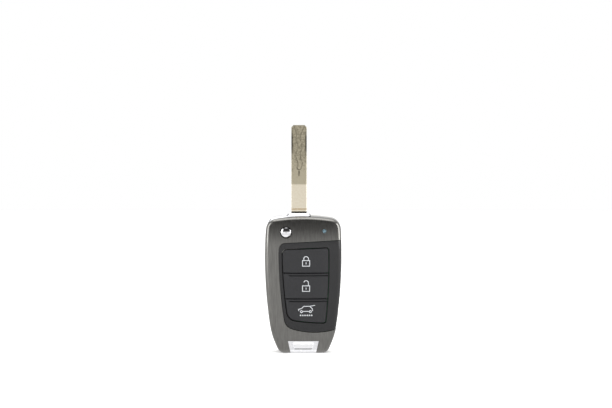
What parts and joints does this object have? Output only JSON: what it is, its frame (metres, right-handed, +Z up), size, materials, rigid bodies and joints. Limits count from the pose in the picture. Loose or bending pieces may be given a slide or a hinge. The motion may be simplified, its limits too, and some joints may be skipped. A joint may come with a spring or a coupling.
{
  "type": "car key fob",
  "caption": "Car key fob with a flip blade, a keypad in a dark bezel, a chrome release button and a key ring bracket.",
  "frame": {"origin": "middle of the foot of the key, under the key ring bracket", "axes": "+Z up along the blade, +Y from the keypad to the rear cover, +X to the right as seen from the keypad"},
  "size_m": [0.0398, 0.0169, 0.1185],
  "materials": {
    "gunmetal_paint": "satin metallic",
    "light_grey_paint": "satin",
    "dark_bezel_plastic": "fine grain",
    "chrome_trim": "polished",
    "bright_steel": "drawn",
    "button_rubber": "matte",
    "silicone": "matte",
    "switch_metal": "plated",
    "black_plastic": "moulded",
    "board_laminate": "solder mask",
    "chip_resin": "moulded",
    "coil_ferrite": "sintered",
    "lamp_clear": "clear",
    "light_pipe_clear": "clear",
    "cell_steel": "nickel plated",
    "contact_plating": "plated",
    "blade_nickel": "nickel silver, milled"
  },
  "bodies": {
    "housing": {"front_cover": "gunmetal_paint", "rear_cover": "light_grey_paint", "keypad_bezel": "dark_bezel_plastic", "key_ring_bracket": "chrome_trim", "bracket_dowel": "bright_steel", "lock_switch": "switch_metal", "unlock_switch": "switch_metal", "tailgate_switch": "switch_metal", "keypad_mat": "silicone", "circuit_board": "board_laminate", "radio_chip": "chip_resin", "crystal": "switch_metal", "capacitors": "chip_resin", "antenna_coil": "coil_ferrite", "led": "lamp_clear", "led_light_pipe": "light_pipe_clear", "coin_cell": "cell_steel", "negative_contact": "contact_plating", "positive_contact": "contact_plating", "inner_chassis": "black_plastic", "transponder": "chip_resin", "battery_cover": "black_plastic", "battery_cover_screw": "bright_steel", "chassis_screws": "bright_steel", "carrier_axle": "bright_steel", "thrust_washer": "bright_steel"},
    "blade_assembly": {"blade_carrier": "chrome_trim", "key_blade": "blade_nickel", "blade_pin": "bright_steel", "flip_spring": "bright_steel"},
    "release": {"release_button": "chrome_trim", "release_plunger": "black_plastic"},
    "lock": {"lock_button": "button_rubber", "lock_plunger": "silicone", "lock_switch_actuator": "black_plastic"},
    "unlock": {"unlock_button": "button_rubber", "unlock_plunger": "silicone", "unlock_switch_actuator": "black_plastic"},
    "tailgate": {"tailgate_button": "button_rubber", "tailgate_plunger": "silicone", "tailgate_switch_actuator": "black_plastic"}
  },
  "joints": [
    {"name": "blade_flip", "type": "hinge", "parent": "housing", "child": "blade_assembly", "pos_m": [-0.0089, 0, 0.0635], "axis": [0, -1, 0], "range_deg": [0, 184], "stiffness_Nm_per_rad": 0.0008},
    {"name": "release_press", "type": "slide", "parent": "blade_assembly", "child": "release", "axis": [0, 1, 0], "range_m": [0, 0.002], "stiffness_N_per_m": 100, "deforming": ["flip_spring"]},
    {"name": "lock_press", "type": "slide", "parent": "housing", "child": "lock", "axis": [0, 1, 0], "range_m": [0, 0.0004], "stiffness_N_per_m": 250},
    {"name": "unlock_press", "type": "slide", "parent": "housing", "child": "unlock", "axis": [0, 1, 0], "range_m": [0, 0.0004], "stiffness_N_per_m": 250},
    {"name": "tailgate_press", "type": "slide", "parent": "housing", "child": "tailgate", "axis": [0, 1, 0], "range_m": [0, 0.0004], "stiffness_N_per_m": 250}
  ]
}
